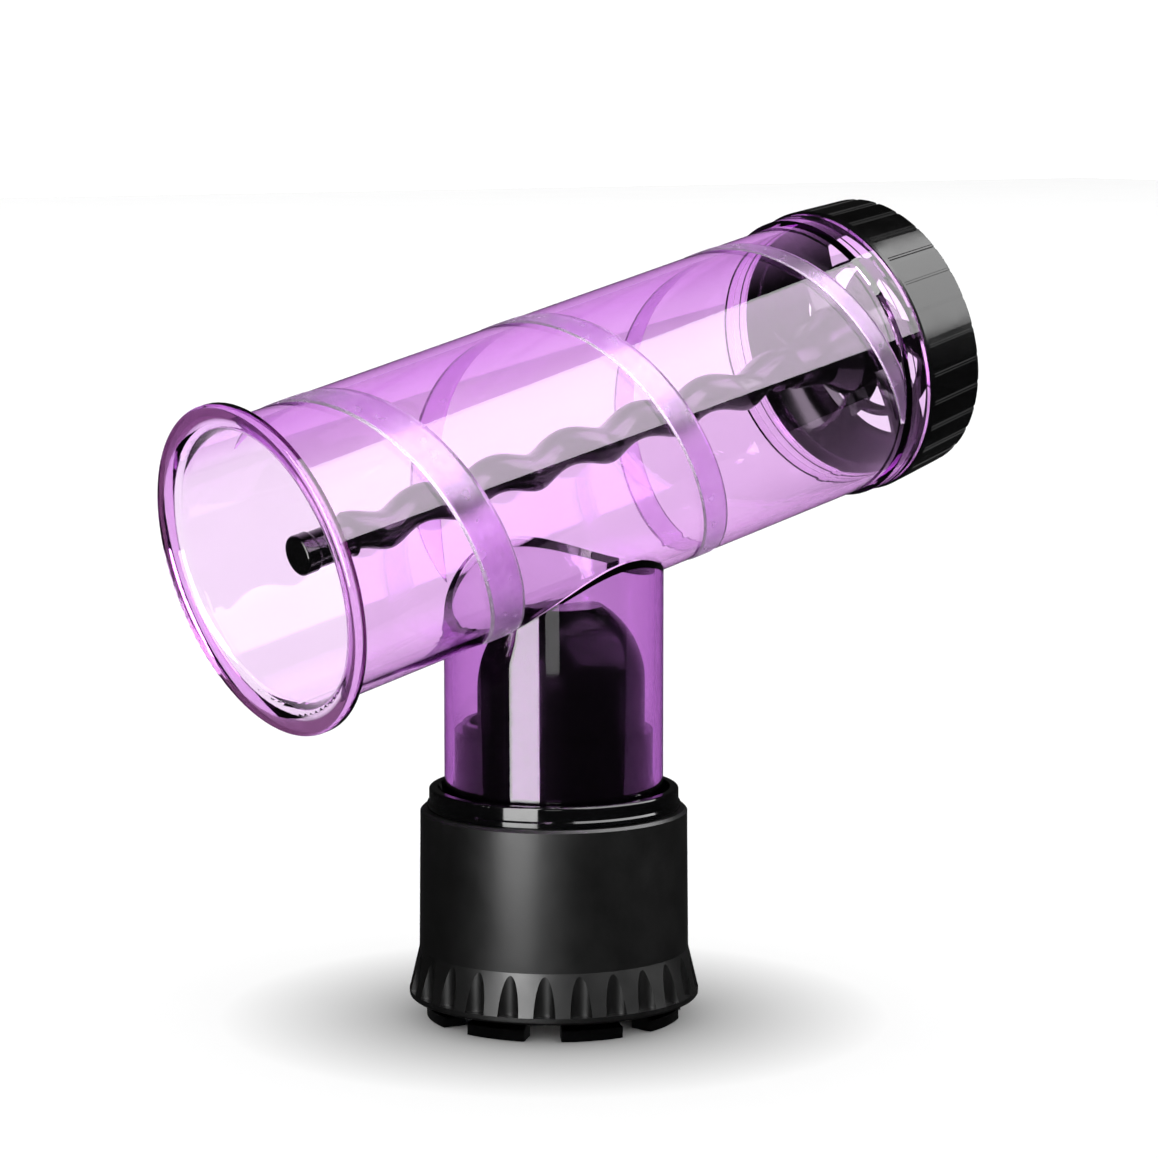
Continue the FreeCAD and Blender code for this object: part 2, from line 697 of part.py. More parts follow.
def cap_ring():
    """The ribbed ring of the end cap."""
    body = new_body("cap_ring")
    back_r = CAP_R - S.cap_taper
    turned(body, [
        (CAP_BORE, S.rear_len),
        (CAP_R - S.fine_edge, S.rear_len),
        (CAP_R, S.rear_len + S.fine_edge),
        (back_r, CAP_END - S.edge, S.edge),
        (back_r - S.edge, CAP_END),
        (CAP_BORE - S.cap_lip, CAP_END),
        (CAP_BORE - S.cap_lip, CAP_END - S.cap_back),
        (CAP_BORE, CAP_END - S.cap_back),
    ])
    for name, depth, width in (
        ("groove", S.groove_depth, S.groove_width),
        ("channel", S.channel_depth, S.channel_width),
    ):
        groove = across(body, POCKET, [
            (CAP_R - depth, S.rear_len + S.past),
            (CAP_R + S.past, S.rear_len + S.past),
            (CAP_R + S.past, CAP_END + S.past),
            (back_r - depth, CAP_END + S.past),
        ], width, name)
        repeated(body, groove, GROOVES)
    on_barrel(body)
    return body


def vent_plug():
    """The vented plug inside the cap ring: a skirt, a long hub and curved vanes."""
    body = new_body("vent_plug")
    skirt_r = BORE_R - S.run_gap
    skirt_in = skirt_r - S.plug_wall
    flange_r = CAP_BORE - S.run_gap
    skirt_start = PLUG_SHOULDER - S.plug_skirt
    window_r = CAP_BORE - S.cap_lip - S.vent_lip
    turned(body, [
        (skirt_in, skirt_start),
        (skirt_r, skirt_start),
        (skirt_r, PLUG_SHOULDER),
        (flange_r, PLUG_SHOULDER),
        (flange_r, PLUG_END),
        (window_r, PLUG_END),
        (window_r, PLUG_END - S.cap_back),
        (skirt_in, PLUG_END - S.cap_back - S.past),
    ])
    vane_start = PLUG_END - S.vane_len - S.past
    reach = skirt_in + S.edge
    tip_x = reach * cosine(S.vane_sweep)
    tip_y = reach * sine(S.vane_sweep)
    bow = S.hub_r * 3
    vane = upright(body, PAD, [
        (S.hub_r - S.past, 0, bow),
        (tip_x, tip_y),
        (tip_x - S.edge, tip_y + S.vane_width, -bow),
        (S.hub_r - S.past, S.vane_width),
    ], vane_start, S.vane_len, "vane")
    repeated(body, vane, VANES)
    head_seat = PLUG_END - S.screw_sunk
    head_bore = S.screw_head + S.edge
    screw_bore = S.screw_r + S.run_gap
    turned(body, [
        (S.spigot_r + S.seat_gap, HUB_START),
        (S.rod_r + S.nose_step, HUB_START),
        (S.rod_r + S.nose_step * 3, HUB_START + S.hub_nose / 3),
        (S.hub_r, HUB_START + S.hub_nose / 2),
        (S.hub_r, PLUG_END),
        (head_bore, PLUG_END),
        (head_bore, head_seat),
        (screw_bore, head_seat),
        (screw_bore, ROD_SEAT),
        (S.spigot_r + S.seat_gap, ROD_SEAT),
    ], name="hub")
    guard_top = PLUG_END - S.past
    guard_low = guard_top - S.guard_len
    guard_out = S.guard_r + S.vane_width
    turned(body, [
        (S.guard_r, guard_low),
        (guard_out, guard_low),
        (guard_out, guard_top),
        (S.guard_r, guard_top),
    ], name="guard")
    on_barrel(body)
    return body


def cap_seal():
    """The flat ring between the barrel's end and the vent plug's shoulder."""
    body = new_body("cap_seal")
    outer = CAP_BORE - S.run_gap
    turned(body, [
        (BORE_R - S.seat_gap, SEAL_START),
        (outer, SEAL_START),
        (outer, PLUG_SHOULDER),
        (BORE_R - S.seat_gap, PLUG_SHOULDER),
    ])
    on_barrel(body)
    return body


def core_rod():
    """The rod that hair winds round: its centre winds round the barrel's axis like a corkscrew."""
    sections = []
    for number in range(int(S.rod_waves.value) * SECTIONS_PER_WAVE + 1):
        share = number / SECTIONS_PER_WAVE
        angle = S.rod_phase + 360 * share
        section = DOC.addObject("Part::Circle", f"rod_section_{number}")
        bind(section, "Radius", S.rod_r)
        centre_x = S.rod_wave * cosine(angle)
        centre_y = S.rod_wave * sine(angle)
        place(section, (centre_x, centre_y, ROD_START + S.rod_pitch * share))
        sections.append(section)
    waves = DOC.addObject("Part::Loft", "rod_waves")
    waves.Sections = sections
    waves.Solid = True
    waves.Ruled = False
    straight = new_body("rod_straight")
    pilot = S.screw_r + S.seat_gap
    rod_end = ROD_SEAT - S.seat_gap
    turned(straight, [
        (0, ROD_WAVES_END - S.past),
        (S.rod_r, ROD_WAVES_END - S.past),
        (S.rod_r, HUB_START - S.seat_gap),
        (S.spigot_r, HUB_START - S.seat_gap),
        (S.spigot_r, rod_end),
        (pilot, rod_end),
        (pilot, rod_end - S.rod_bore_len),
        (0, rod_end - S.rod_bore_len),
    ])
    stud = new_body("rod_stud")
    stud_start = ROD_START - S.tip_len / 2
    turned(stud, [
        (0, stud_start),
        (S.tip_bore, stud_start),
        (S.tip_bore, ROD_START + S.past),
        (0, ROD_START + S.past),
    ])
    rod = DOC.addObject("Part::MultiFuse", "core_rod")
    rod.Shapes = [waves, straight, stud]
    on_barrel(rod)
    return rod


def rod_tip():
    """The plain tip pushed on the front of the rod."""
    body = new_body("rod_tip")
    start = ROD_START - S.tip_len
    end = ROD_START - S.seat_gap
    bore = S.tip_bore + S.seat_gap
    depth = ROD_START - S.tip_len / 2 - S.seat_gap
    waist_r = S.tip_r - S.fine_edge
    waist_start = start + S.tip_len / 4
    turned(body, [
        (0, start),
        (S.tip_r - S.edge, start, S.edge),
        (S.tip_r, start + S.edge),
        (S.tip_r, waist_start),
        (waist_r, waist_start + S.edge),
        (waist_r, end - S.past),
        (S.tip_r, end),
        (bore, end),
        (bore, depth),
        (0, depth),
    ])
    on_barrel(body)
    return body


def rod_screw():
    """The screw that holds the rod in the hub, with a cross recess in its head."""
    body = new_body("rod_screw")
    seat = PLUG_END - S.screw_sunk + S.washer_thick
    head_top = PLUG_END - S.fine_edge
    screw_tip = head_top - S.screw_len
    turned(body, [
        (0, screw_tip),
        (S.screw_r, screw_tip),
        (S.screw_r, seat),
        (S.screw_head, seat),
        (S.screw_head, head_top - S.edge, S.edge),
        (S.screw_head - S.edge, head_top),
        (0, head_top),
    ])
    recess_low = head_top - S.recess_depth
    for number, (wide, high) in enumerate((
        (S.recess_len / 2, S.recess_width / 2),
        (S.recess_width / 2, S.recess_len / 2),
    )):
        corners = [(-wide, -high), (wide, -high), (wide, high), (-wide, high)]
        upright(body, POCKET, corners, recess_low, S.recess_depth + S.past, f"recess_{number}")
    on_barrel(body)
    return body


def rod_washer():
    """The washer under the rod's screw."""
    body = new_body("rod_washer")
    low = PLUG_END - S.screw_sunk
    inner = S.screw_r + S.seat_gap
    outer = S.screw_head + S.fine_edge
    top = low + S.washer_thick
    turned(body, [(inner, low), (outer, low), (outer, top), (inner, top)])
    on_barrel(body)
    return body


def make_pieces():
    pieces = [
        clear_barrel(),
        clear_neck(),
        air_guide(),
        adapter_body(),
        sleeve_retainer(),
        neck_seal(),
        clamp_sleeve(),
        finger_pins(),
        cap_ring(),
        vent_plug(),
        cap_seal(),
        core_rod(),
        rod_tip(),
        rod_screw(),
        rod_washer(),
    ]
    for number in range(1, FINGERS + 1):
        pieces.append(clamp_finger(number))
        pieces.append(grip_pad(number))
    return pieces


def check(pieces):
    for thing in DOC.Objects:
        if "Invalid" in thing.State or "Error" in thing.State:
            raise RuntimeError(f"{thing.Label} failed: {thing.State}")
    for piece in pieces:
        shape = piece.Shape
        if shape.isNull() or not shape.isValid() or not shape.Solids:
            raise RuntimeError(f"{piece.Label} has no valid solid")
        wanted = FINGERS if piece.Label == "finger_pins" else 1
        if len(shape.Solids) != wanted:
            raise RuntimeError(f"{piece.Label} has {len(shape.Solids)} solids, not {wanted}")


def write(pieces):
    os.makedirs("parts", exist_ok=True)
    for piece in pieces:
        piece.Shape.exportStep(os.path.join("parts", f"{piece.Label}.step"))
        print(f"{piece.Label}: {piece.Shape.Volume:.0f} mm3")


PIECES = make_pieces()
DOC.recompute()
check(PIECES)
write(PIECES)
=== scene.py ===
import json
import math

import bmesh
import bpy
from mathutils import Matrix, Vector


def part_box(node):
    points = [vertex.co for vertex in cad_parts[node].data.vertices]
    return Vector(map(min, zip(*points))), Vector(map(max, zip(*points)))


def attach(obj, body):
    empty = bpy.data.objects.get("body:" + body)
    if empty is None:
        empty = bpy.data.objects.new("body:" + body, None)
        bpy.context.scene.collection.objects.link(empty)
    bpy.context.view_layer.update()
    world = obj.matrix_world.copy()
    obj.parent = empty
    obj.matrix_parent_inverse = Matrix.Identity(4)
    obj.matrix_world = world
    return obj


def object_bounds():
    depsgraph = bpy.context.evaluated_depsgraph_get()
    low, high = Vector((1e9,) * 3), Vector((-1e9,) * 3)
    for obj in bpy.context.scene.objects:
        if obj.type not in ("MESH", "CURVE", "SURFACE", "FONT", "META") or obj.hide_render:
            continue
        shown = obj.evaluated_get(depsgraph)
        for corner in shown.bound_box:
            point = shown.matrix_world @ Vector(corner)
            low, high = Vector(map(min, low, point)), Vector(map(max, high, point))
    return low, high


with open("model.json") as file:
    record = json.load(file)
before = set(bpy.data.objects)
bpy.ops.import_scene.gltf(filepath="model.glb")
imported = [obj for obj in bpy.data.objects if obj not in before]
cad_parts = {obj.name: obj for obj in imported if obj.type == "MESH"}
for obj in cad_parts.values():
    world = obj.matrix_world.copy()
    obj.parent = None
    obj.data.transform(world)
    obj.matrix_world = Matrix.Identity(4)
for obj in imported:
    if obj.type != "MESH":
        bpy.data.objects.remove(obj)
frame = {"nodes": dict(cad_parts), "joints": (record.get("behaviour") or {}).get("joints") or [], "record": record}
CAD_LOW, CAD_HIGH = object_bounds()

MM = 0.001
NODES = frame["nodes"]
JOINTS = {joint["name"]: joint for joint in frame["joints"]}

# The barrel's own frame, from the joints: AXIS runs towards the cap, UP is across it and upwards.
AXIS = Vector(JOINTS["cap_pull"]["axis"]).normalized()
CENTRE = Vector(JOINTS["cap_turn"]["pos_m"])
SIDE = Vector((0, -1, 0))
UP = SIDE.cross(AXIS).normalized()
if UP.z < 0:
    UP = -UP


def barrel_point(along, angle, radius):
    """A point at a station on the barrel: angle 0 faces -Y and a quarter turn faces up."""
    across = SIDE * math.cos(angle) + UP * math.sin(angle)
    return CENTRE + AXIS * along + across * radius


def stations(node):
    """Each vertex of a node as (distance along the barrel's axis, distance from it)."""
    found = []
    for vertex in NODES[node].data.vertices:
        offset = vertex.co - CENTRE
        along = offset.dot(AXIS)
        found.append((along, (offset - AXIS * along).length))
    return found


COLLAR_LEN = 7 * MM  # length of the thick collar in front of the cap
COLLAR_AT = min(along for along, _ in stations("cap_ring")) - COLLAR_LEN
MOUTH_AT = min(along for along, _ in stations("clear_barrel"))
BARREL_R = max(
    radius for along, radius in stations("clear_barrel")
    if COLLAR_AT - MM < along < COLLAR_AT + 0.1 * MM
)
NECK_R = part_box("clear_neck")[1].y


# Materials


class Paint:
    """One material's node tree, with short ways to add its nodes."""

    def __init__(self, name):
        self.material = bpy.data.materials.new(name)
        self.material.use_nodes = True
        self.tree = self.material.node_tree
        self.shader = self.tree.nodes["Principled BSDF"]
        self.output = self.tree.nodes["Material Output"]
        self.place = self.add("ShaderNodeTexCoord").outputs["Object"]

    def add(self, kind, **settings):
        node = self.tree.nodes.new(kind)
        for key, value in settings.items():
            setattr(node, key, value)
        return node

    def join(self, source, target):
        self.tree.links.new(source, target)

    def set(self, **values):
        for key, value in values.items():
            self.shader.inputs[key.replace("_", " ")].default_value = value

    def noise(self, scale, detail=3.0, stretch=None):
        node = self.add("ShaderNodeTexNoise")
        node.inputs["Scale"].default_value = scale
        node.inputs["Detail"].default_value = detail
        if stretch is None:
            self.join(self.place, node.inputs["Vector"])
        else:
            mapping = self.add("ShaderNodeMapping")
            mapping.inputs["Scale"].default_value = stretch
            self.join(self.place, mapping.inputs["Vector"])
            self.join(mapping.outputs["Vector"], node.inputs["Vector"])
        return node.outputs["Fac"]

    def spread(self, source, low, high, begin=0.3, end=0.7):
        """Maps a texture's middle range to low..high."""
        node = self.add("ShaderNodeMapRange")
        node.inputs["From Min"].default_value = begin
        node.inputs["From Max"].default_value = end
        node.inputs["To Min"].default_value = low
        node.inputs["To Max"].default_value = high
        self.join(source, node.inputs["Value"])
        return node.outputs["Result"]

    def colours(self, source, first, second, begin=0.3, end=0.7):
        ramp = self.add("ShaderNodeValToRGB")
        ramp.color_ramp.elements[0].position = begin
        ramp.color_ramp.elements[0].color = (*first, 1)
        ramp.color_ramp.elements[1].position = end
        ramp.color_ramp.elements[1].color = (*second, 1)
        self.join(source, ramp.inputs["Fac"])
        self.join(ramp.outputs["Color"], self.shader.inputs["Base Color"])

    def measure(self, operation, first, second=None):
        """A vector sum; gives its number for a dot product or a length, and else its vector."""
        node = self.add("ShaderNodeVectorMath", operation=operation)
        self.join(first, node.inputs[0])
        if second is not None:
            node.inputs[1].default_value = second
        return node.outputs["Value" if operation in ("DOT_PRODUCT", "LENGTH") else "Vector"]

    def tint(self, mask, colour):
        """Multiplies the base colour by another where the mask is one."""
        ramp = self.add("ShaderNodeValToRGB")
        ramp.color_ramp.elements[0].color = (1, 1, 1, 1)
        ramp.color_ramp.elements[1].color = (*colour, 1)
        self.join(mask, ramp.inputs["Fac"])
        product = self.add("ShaderNodeVectorMath", operation="MULTIPLY")
        self.join(self.shader.inputs["Base Color"].links[0].from_socket, product.inputs[0])
        self.join(ramp.outputs["Color"], product.inputs[1])
        self.join(product.outputs["Vector"], self.shader.inputs["Base Color"])

    def bump(self, source, strength, depth):
        node = self.add("ShaderNodeBump")
        node.inputs["Strength"].default_value = strength
        node.inputs["Distance"].default_value = depth
        self.join(source, node.inputs["Height"])
        self.join(node.outputs["Normal"], self.shader.inputs["Normal"])


def black_plastic(name, shade, rough, grain, depth, shine=0.5):
    """Moulded black plastic: faint flow marks in its colour, uneven gloss, and grain of a depth."""
    paint = Paint(name)
    paint.colours(paint.noise(45, 4), shade, tuple(1.6 * part for part in shade))
    paint.join(paint.spread(paint.noise(160, 5), *rough), paint.shader.inputs["Roughness"])
    paint.bump(paint.noise(grain, 2), 0.35, depth)
    paint.set(IOR=1.5, Specular_IOR_Level=shine)
    return paint.material


def let_light_through(paint, tint):
    """Rays from lamps cross the plastic straight, so that what is inside is lit."""
    path = paint.add("ShaderNodeLightPath")
    clear = paint.add("ShaderNodeBsdfTransparent")
    clear.inputs["Color"].default_value = (*tint, 1)
    mix = paint.add("ShaderNodeMixShader")
    paint.join(path.outputs["Is Shadow Ray"], mix.inputs[0])
    paint.join(paint.shader.outputs["BSDF"], mix.inputs[1])
    paint.join(clear.outputs["BSDF"], mix.inputs[2])
    paint.join(mix.outputs["Shader"], paint.output.inputs["Surface"])


def soak(paint, colour, density):
    """Colours the light by the length of plastic that it crosses."""
    volume = paint.add("ShaderNodeVolumeAbsorption")
    volume.inputs["Color"].default_value = (*colour, 1)
    volume.inputs["Density"].default_value = density
    paint.join(volume.outputs["Volume"], paint.output.inputs["Volume"])


def clear_purple(name, colour, density):
    """Polished clear purple plastic: deeper where it is thick, with faint flow lines."""
    paint = Paint(name)
    paint.set(Transmission_Weight=1.0, IOR=1.49)
    paint.colours(paint.noise(25, 2), (0.97, 0.93, 0.99), (1.0, 0.98, 1.0))
    paint.join(paint.spread(paint.noise(90, 3), 0.0, 0.03), paint.shader.inputs["Roughness"])
    paint.bump(paint.noise(35, 1, (1, 1, 1)), 0.04, 0.2 * MM)
    let_light_through(paint, (0.96, 0.92, 0.98))
    soak(paint, colour, density)
    return paint


BARREL_COLOUR = (0.72, 0.06, 0.82)
BARREL_DENSITY = 168
NECK_COLOUR = (0.58, 0.05, 0.68)
NECK_DENSITY = 430
# Each painted tint below fades in between two limits: a painted dark reflection along the top and painted shade in
# the back of the rim.
# Painted dark reflection: the colour deepens along the barrel's top.
TOP_PAINTED_REFLECTION_LIMITS = (BARREL_R * 0.55, BARREL_R * 0.8)  # height over the barrel's axis
TOP_PAINTED_REFLECTION = (0.88, 0.74, 0.92)
# Painted shade: the colour turns nearly black in the thick back of the mouth's rim.
RIM_SHADE_RADIUS_LIMITS = (BARREL_R + 1.2 * MM, BARREL_R + 1.8 * MM)
RIM_SHADE_STATION_LIMITS = (MOUTH_AT + 1.1 * MM, MOUTH_AT + 1.6 * MM)
RIM_PAINTED_SHADE = (0.04, 0.008, 0.03)


def clear_purple_barrel():
    """The barrel's plastic, with a painted dark reflection as a deeper tint along its top and painted shade in the
    thick back of the mouth's rim.
    """
    paint = clear_purple("clear_purple", BARREL_COLOUR, BARREL_DENSITY)
    offset = paint.measure("SUBTRACT", paint.place, CENTRE)
    height = paint.measure("DOT_PRODUCT", offset, UP)
    # Painted dark reflection along the top of the barrel.
    paint.tint(paint.spread(height, 0, 1, *TOP_PAINTED_REFLECTION_LIMITS), TOP_PAINTED_REFLECTION)
    radius = paint.measure("LENGTH", paint.measure("CROSS_PRODUCT", offset, AXIS))
    along = paint.measure("DOT_PRODUCT", offset, AXIS)
    # Painted shade in the back of the rim, far out from the axis and close to the mouth.
    painted_rim_shade = paint.add("ShaderNodeMath", operation="MULTIPLY")
    paint.join(paint.spread(radius, 0, 1, *RIM_SHADE_RADIUS_LIMITS), painted_rim_shade.inputs[0])
    paint.join(paint.spread(along, 0, 1, *RIM_SHADE_STATION_LIMITS), painted_rim_shade.inputs[1])
    paint.tint(painted_rim_shade.outputs["Value"], RIM_PAINTED_SHADE)
    return paint.material


def frosted_purple():
    """The blasted band of the same plastic: it scatters what shows through it."""
    paint = Paint("frosted_purple")
    paint.set(Transmission_Weight=1.0, IOR=1.45, Specular_IOR_Level=0.2)
    paint.colours(paint.noise(400, 3), (0.78, 0.55, 0.86), (0.85, 0.64, 0.92))
    paint.join(paint.spread(paint.noise(300, 3), 0.22, 0.28), paint.shader.inputs["Roughness"])
    paint.bump(paint.noise(1600, 3), 0.25, 0.02 * MM)
    let_light_through(paint, (0.85, 0.65, 0.92))
    return paint.material


def soft_rubber():
    paint = Paint("soft_rubber")
    paint.colours(paint.noise(300, 4), (0.012, 0.012, 0.013), (0.03, 0.03, 0.032))
    paint.join(paint.spread(paint.noise(700, 4), 0.62, 0.85), paint.shader.inputs["Roughness"])
    paint.bump(paint.noise(1800, 3), 0.5, 0.04 * MM)
    return paint.material


def plain_steel():
    paint = Paint("plain_steel")
    paint.set(Metallic=1.0)
    streaks = paint.noise(400, 5, (1, 1, 12))
    paint.colours(streaks, (0.42, 0.42, 0.44), (0.66, 0.66, 0.68))
    paint.join(paint.spread(streaks, 0.22, 0.4), paint.shader.inputs["Roughness"])
    paint.bump(streaks, 0.2, 0.02 * MM)
    return paint.material


CLEAR = clear_purple_barrel()
CLEAR_NECK = clear_purple("clear_neck", NECK_COLOUR, NECK_DENSITY).material
FROSTED = frosted_purple()
GLOSS_BLACK = black_plastic("gloss_black", (0.0016, 0.0016, 0.0019), (0.05, 0.11), 600, 0.01 * MM)
SATIN_BLACK = black_plastic("satin_black", (0.0012, 0.0012, 0.0014), (0.33, 0.4), 2600, 0.03 * MM)
CAP_BLACK = black_plastic("cap_black", (0.0016, 0.0016, 0.0019), (0.16, 0.24), 600, 0.01 * MM, 0.42)
INNER_BLACK = black_plastic("inner_black", (0.0014, 0.0012, 0.0016), (0.12, 0.2), 1500, 0.02 * MM)
MATT_BLACK = black_plastic(
    "matt_black", (0.0006, 0.0005, 0.0007), (0.16, 0.22), 1500, 0.005 * MM, 0.12,
)
RUBBER = soft_rubber()
STEEL = plain_steel()

FINISHES = {
    "clear_purple": CLEAR,
    "gloss_black": GLOSS_BLACK,
    "satin_black": SATIN_BLACK,
    "black_plastic": INNER_BLACK,
    "soft_seal": RUBBER,
    "steel": STEEL,
}
NODE_FINISHES = {"clear_neck": CLEAR_NECK, "air_guide": MATT_BLACK, "cap_ring": CAP_BLACK}
FINGERS = 8
NODE_FINISHES.update({f"clamp_finger_{number + 1}": GLOSS_BLACK for number in range(FINGERS)})


def cast_no_shadow(thing):
    """Matt surfaces are lit as if the clear plastic were not there, so that it leaves no tint on them."""
    thing.visible_shadow = False
    thing.visible_diffuse = False


def finish_nodes():
    """Gives each CAD node its own finish, or else that of its material slot."""
    for part in frame["record"]["subparts"]:
        thing = NODES[part["node"]]
        thing.data.materials.clear()
        slot_finish = FINISHES[part["material_slot"]]
        thing.data.materials.append(NODE_FINISHES.get(part["node"], slot_finish))
        if part["material_slot"] == "clear_purple":
            cast_no_shadow(thing)


def piece(name, mesh, material, body):
    """A new mesh piece that rides on a body."""
    thing = bpy.data.objects.new(name, mesh)
    bpy.context.scene.collection.objects.link(thing)
    mesh.materials.append(material)
    for face in mesh.polygons:
        face.use_smooth = True
    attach(thing, body)
    return thing


# The frosted spiral band round the barrel

BAND_PITCH = 59 * MM
BAND_AT_SIDE = -43.4 * MM  # station where the band crosses the -Y side nearest the mouth
BAND_FIRST = -66 * MM  # stations between which the band runs
BAND_LAST = 79 * MM
BAND_WIDE = 10.6 * MM
BAND_NARROW = 4.6 * MM
BAND_THICK = 0.16 * MM
BAND_GAP = 0.03 * MM
BAND_STEPS_PER_TURN = 120
BAND_ACROSS = 8
BAND_TAPER = 16  # steps over which an end on the far side narrows to a point
BAND_POINT = 0.04  # width of that point as a share of the band's
BAND_SHORTEST = 4  # fewest steps that make a stretch of the band
BAND_EDGE = 0.1  # thickness along the band's edges as a share of BAND_THICK
BAND_FLATNESS = 6  # power of the curve from the edges to the middle: higher is flatter
NECK_MARGIN = 0.5 * MM  # gap between the band's end and the neck
COLLAR_MARGIN = 0.05 * MM  # gap between the band and the collar


def band_runs():
    """Stretches of the spiral as lists of (station, angle), left out where the neck opens."""
    runs, run = [], []
    step = 2 * math.pi / BAND_STEPS_PER_TURN
    angle = -(BAND_FIRST - BAND_AT_SIDE) / BAND_PITCH * 2 * math.pi
    while True:
        along = BAND_AT_SIDE - angle / (2 * math.pi) * BAND_PITCH
        if along > BAND_LAST:
            break
        spot = barrel_point(along, angle, BARREL_R)
        over_neck = math.hypot(spot.x, spot.y) < NECK_R + NECK_MARGIN and spot.z < CENTRE.z
        if over_neck:
            if len(run) >= BAND_SHORTEST:
                runs.append(run)
            run = []
        else:
            run.append((along, angle))
        angle -= step
    if len(run) >= BAND_SHORTEST:
        runs.append(run)
    return runs


def spiral_band():
    mesh = bmesh.new()
    for run in band_runs():
        rows = []
        for place, (along, angle) in enumerate(run):
            share = (along - BAND_FIRST) / (BAND_LAST - BAND_FIRST)
            width = BAND_WIDE + (BAND_NARROW - BAND_WIDE) * share
            from_end = min(place, len(run) - 1 - place)
            if math.cos(angle) < 0 and from_end < BAND_TAPER:
                fullness = math.sin(from_end / BAND_TAPER * math.pi / 2)
                width *= BAND_POINT + (1 - BAND_POINT) * fullness
            low, high = [], []
            for number in range(BAND_ACROSS + 1):
                across = number / BAND_ACROSS - 0.5
                swell = 1 - (2 * abs(across)) ** BAND_FLATNESS
                thickness = BAND_THICK * (BAND_EDGE + (1 - BAND_EDGE) * swell)
                top = BARREL_R + BAND_GAP + thickness
                spot = min(along + across * width, COLLAR_AT - COLLAR_MARGIN)
                high.append(mesh.verts.new(barrel_point(spot, angle, top)))
                low.append(mesh.verts.new(barrel_point(spot, angle, BARREL_R + BAND_GAP)))
            rows.append(high + low[::-1])
        count = len(rows[0])
        for here, there in zip(rows, rows[1:]):
            for number in range(count):
                after = (number + 1) % count
                mesh.faces.new((here[number], there[number], there[after], here[after]))
        mesh.faces.new(rows[0])
        mesh.faces.new(rows[-1][::-1])
    bmesh.ops.recalc_face_normals(mesh, faces=mesh.faces)
    data = bpy.data.meshes.new("spiral_band")
    mesh.to_mesh(data)
    mesh.free()
    band = piece("spiral_band", data, FROSTED, "housing")
    cast_no_shadow(band)


# The room: floor, world, lamps and camera

LOOK = Vector((0.6, 0.8, 0)).normalized()  # the way the camera looks, along the floor

FLOOR_SIZE = 12
FLOOR_DROP = 0.2 * MM  # how far the floor lies under the feet
FLOOR_DARK_TO = -50 * MM  # distance along LOOK up to which the mirrored floor is dark
FLOOR_MIRRORED = (0.02, 0.02, 0.02)
PAINTED_SHADOW_INNER = 30 * MM  # radius within which the floor's painted shadow is darkest
PAINTED_SHADOW_OUTER = 76 * MM  # radius at which it has faded out
PAINTED_SHADOW_GREY = (0.52, 0.52, 0.52)


def pale_floor():
    bpy.ops.mesh.primitive_plane_add(size=FLOOR_SIZE, location=(0, 0, -FLOOR_DROP))
    floor = bpy.context.object
    floor.name = "floor"
    paint = Paint("floor_paint")
    paint.colours(paint.noise(6, 3), (0.85, 0.85, 0.85), (0.86, 0.86, 0.86))
    # A painted soft shadow under the object: a grey patch, wider than the shadow that the even light leaves
    distance = paint.measure("LENGTH", paint.place)
    paint.tint(paint.spread(distance, 1, 0, PAINTED_SHADOW_INNER, PAINTED_SHADOW_OUTER), PAINTED_SHADOW_GREY)
    paint.join(paint.spread(paint.noise(60, 2), 0.55, 0.7), paint.shader.inputs["Roughness"])
    paint.set(Specular_IOR_Level=0.0)
    # In front of the object the floor is dark where it is mirrored, but not where it is seen through.
    path = paint.add("ShaderNodeLightPath")
    along = paint.add("ShaderNodeVectorMath", operation="DOT_PRODUCT")
    along.inputs[1].default_value = LOOK
    paint.join(paint.place, along.inputs[0])
    near = paint.add("ShaderNodeMath", operation="LESS_THAN")
    near.inputs[1].default_value = FLOOR_DARK_TO
    paint.join(along.outputs["Value"], near.inputs[0])
    mirrored = paint.add("ShaderNodeMath", operation="GREATER_THAN")
    mirrored.inputs[1].default_value = 0.5
    paint.join(path.outputs["Glossy Depth"], mirrored.inputs[0])
    hidden = paint.add("ShaderNodeMath", operation="MULTIPLY")
    paint.join(mirrored.outputs["Value"], hidden.inputs[0])
    paint.join(near.outputs["Value"], hidden.inputs[1])
    dark = paint.add("ShaderNodeBsdfDiffuse")
    dark.inputs["Color"].default_value = (*FLOOR_MIRRORED, 1)
    mix = paint.add("ShaderNodeMixShader")
    paint.join(hidden.outputs["Value"], mix.inputs[0])
    paint.join(paint.shader.outputs["BSDF"], mix.inputs[1])
    paint.join(dark.outputs["BSDF"], mix.inputs[2])
    paint.join(mix.outputs["Shader"], paint.output.inputs["Surface"])
    floor.data.materials.append(paint.material)
    floor.visible_glossy = False


SEEN = 1.34  # brightness of the backdrop behind the object
MIRRORED = 0.02  # brightness of the dark room in reflections
BEHIND_FROM = 0.2  # how squarely a mirrored ray must run along LOOK before it meets the backdrop
BEHIND_TO = 0.7  # and to meet it at full brightness
SKY = 8.4  # brightness at the horizon of the light on matt surfaces, which fades to none overhead


